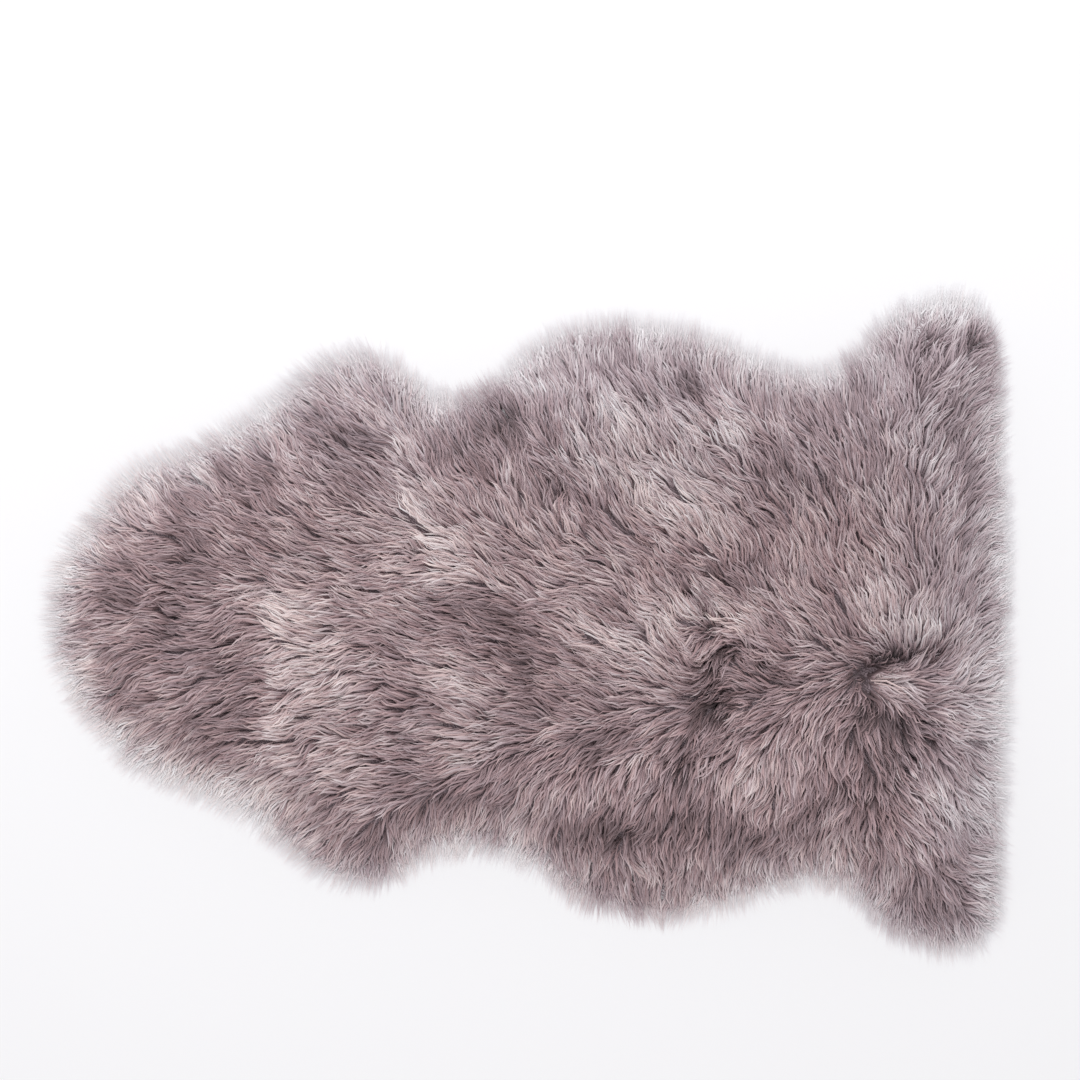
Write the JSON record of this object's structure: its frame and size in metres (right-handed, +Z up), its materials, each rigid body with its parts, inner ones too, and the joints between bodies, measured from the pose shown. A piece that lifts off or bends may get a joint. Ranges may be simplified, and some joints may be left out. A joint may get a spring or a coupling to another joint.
{
  "type": "sheepskin rug",
  "caption": "Whole-hide sheepskin rug lying flat, with long combed wool in grey-mauve tones, a rounded neck end and spread leg corners.",
  "frame": {"origin": "on the floor, at the middle of the rug's bounding box", "axes": "+X along the spine from the neck end to the hind end (the picture's right), +Y across to the left flank (the picture's top), +Z up"},
  "size_m": [0.9642, 0.6554, 0.0618],
  "materials": {
    "wool": "long soft pile",
    "suede": "soft napped flesh side"
  },
  "bodies": {
    "root": {"pelt": "wool"}
  },
  "joints": []
}
